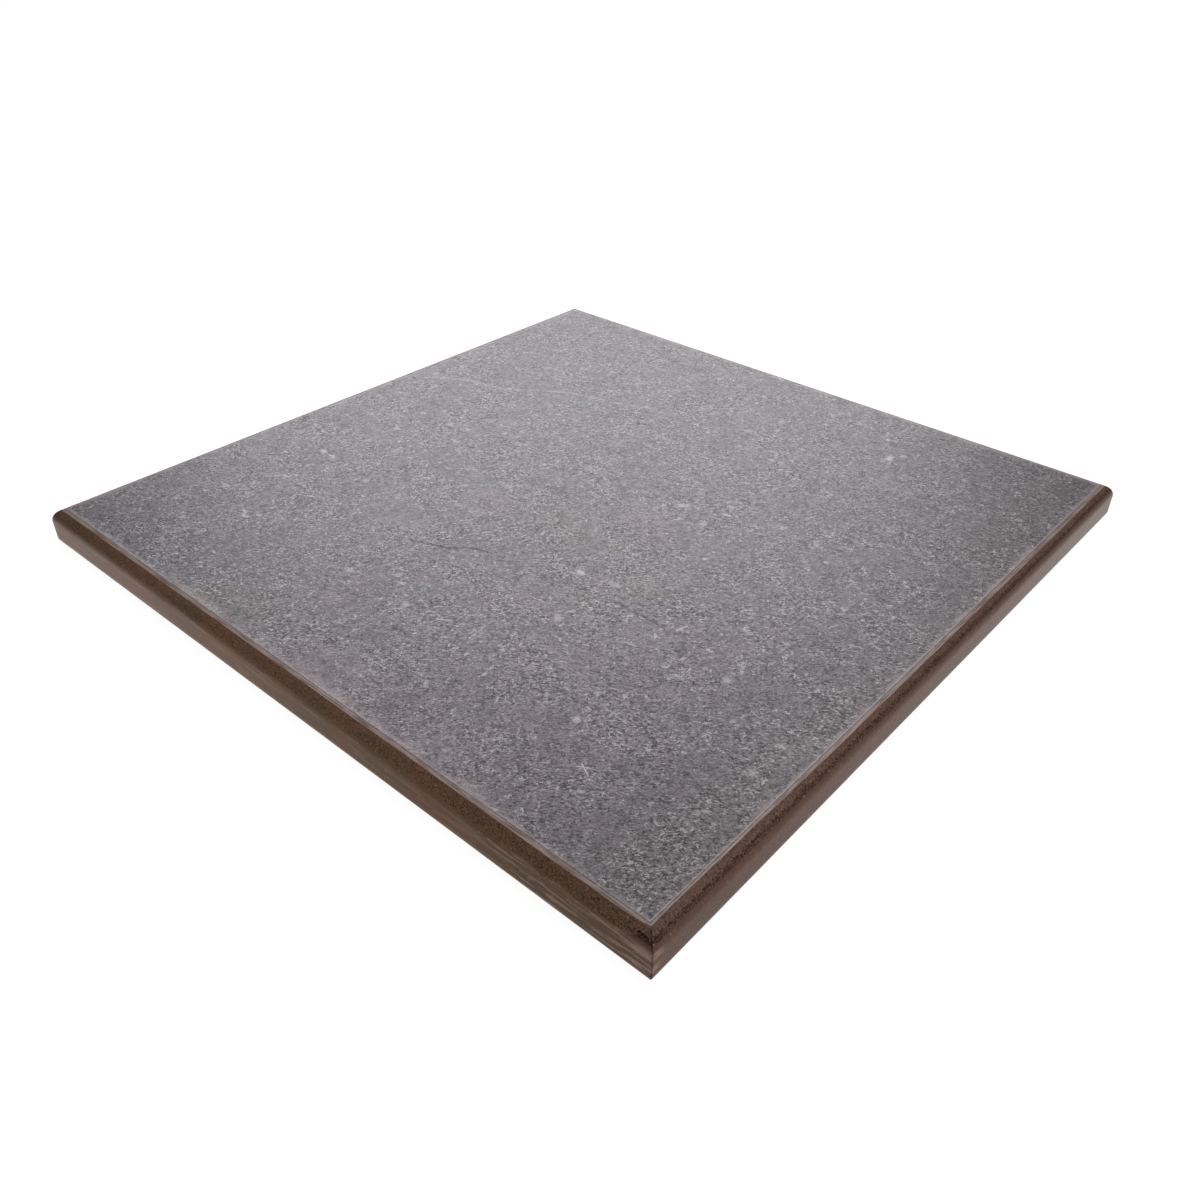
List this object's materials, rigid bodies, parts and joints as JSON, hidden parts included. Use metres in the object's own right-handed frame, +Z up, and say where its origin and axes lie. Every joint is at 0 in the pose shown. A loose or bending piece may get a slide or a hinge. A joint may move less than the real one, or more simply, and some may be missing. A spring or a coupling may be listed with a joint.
{
  "type": "leather tooling slab",
  "caption": "Square tooling slab: a brown stoneware body under a pale slip and a thin grey stone-look face, with rounded ground edges and a flat work surface.",
  "frame": {"origin": "centre of the slab's underside, on the surface that it rests on", "axes": "+Z up through the slab to its working face, +X and +Y along its two equal sides"},
  "size_m": [0.3, 0.3, 0.016],
  "materials": {
    "brown_stoneware": "satin",
    "pale_slip": "satin",
    "grey_face": "matte"
  },
  "bodies": {
    "root": {"stoneware_body": "brown_stoneware", "slip_coat": "pale_slip", "face_coat": "grey_face"}
  },
  "joints": []
}
